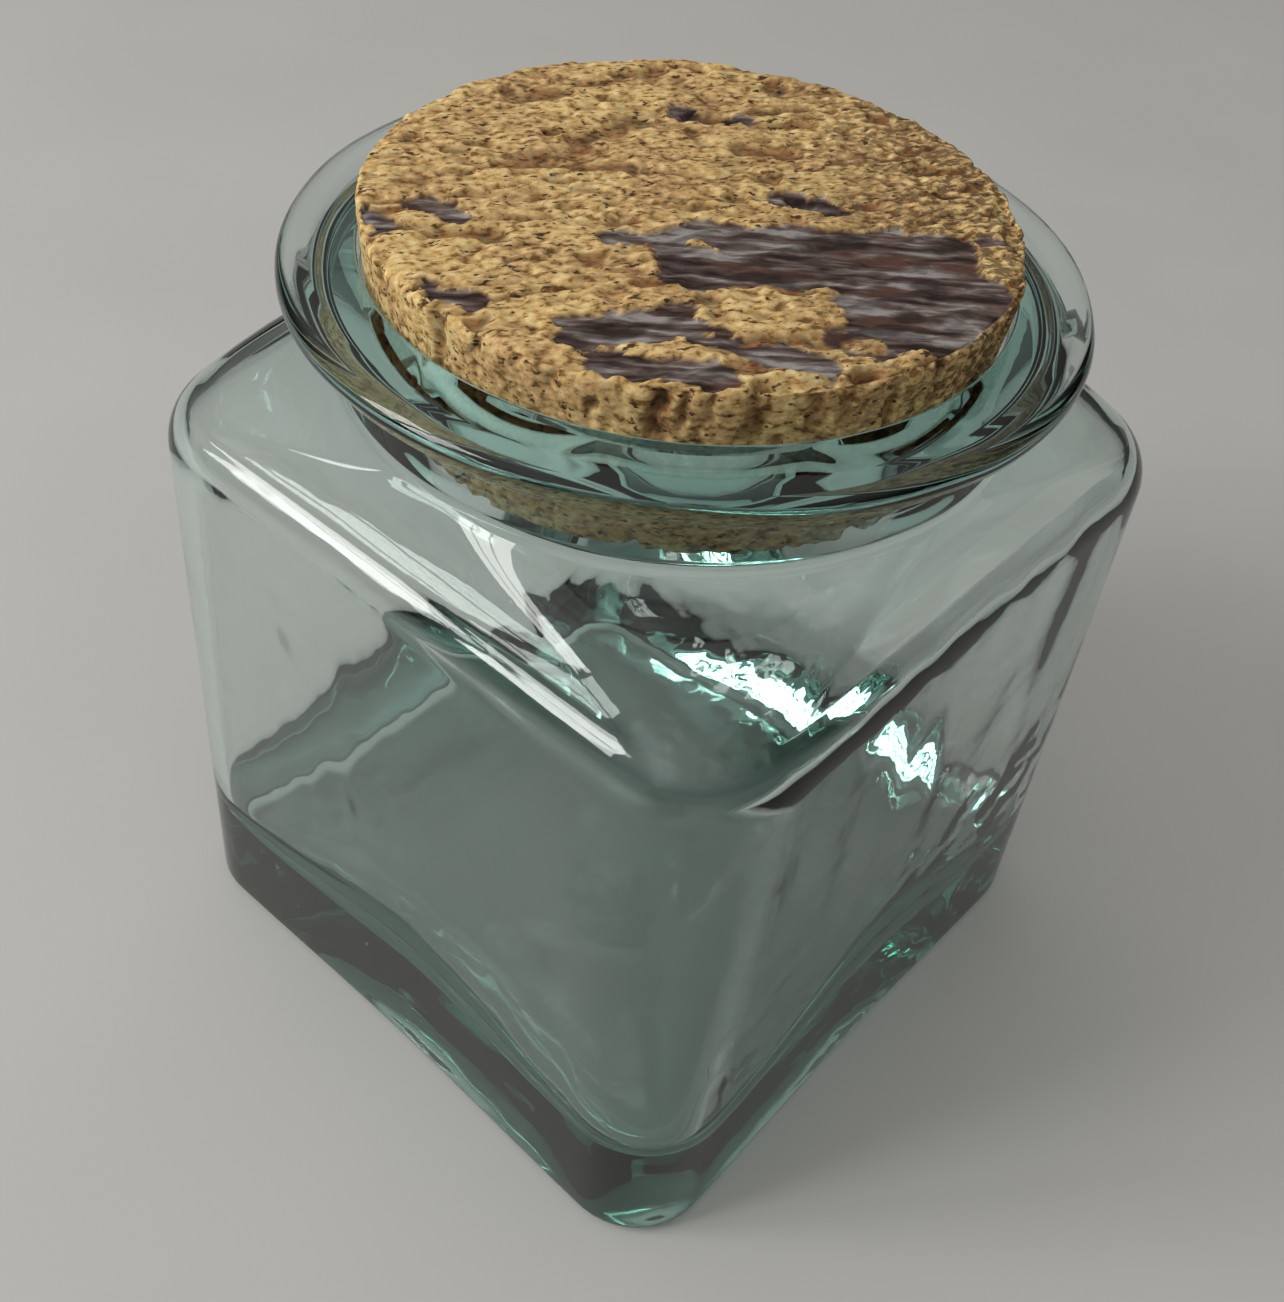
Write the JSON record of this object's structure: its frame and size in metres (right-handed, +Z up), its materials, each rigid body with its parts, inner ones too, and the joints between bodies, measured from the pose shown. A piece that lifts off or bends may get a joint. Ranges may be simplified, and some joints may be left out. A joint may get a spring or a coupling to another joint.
{
  "type": "lidded glass canister",
  "caption": "Square jar of thick green-tinted glass with a round flanged mouth, closed by a tapered natural-cork stopper that lifts straight out.",
  "frame": {"origin": "middle of the jar's flat base, on the surface that it stands on", "axes": "+Z up along the axis of the mouth and the stopper, X and Y square to the jar's flat sides"},
  "size_m": [0.12, 0.12, 0.1473],
  "materials": {
    "jar_glass": "pressed and fire-polished recycled glass, clear with a grey-green tint",
    "lid_cork": "natural cork plank, uncoated, with bark left on its top face"
  },
  "bodies": {
    "jar": {"glass_jar": "jar_glass"},
    "lid": {"cork_lid": "lid_cork"}
  },
  "joints": [
    {"name": "lid_lift", "type": "slide", "parent": "jar", "child": "lid", "axis": [0, 0, 1], "range_m": [0, 0.08]}
  ]
}
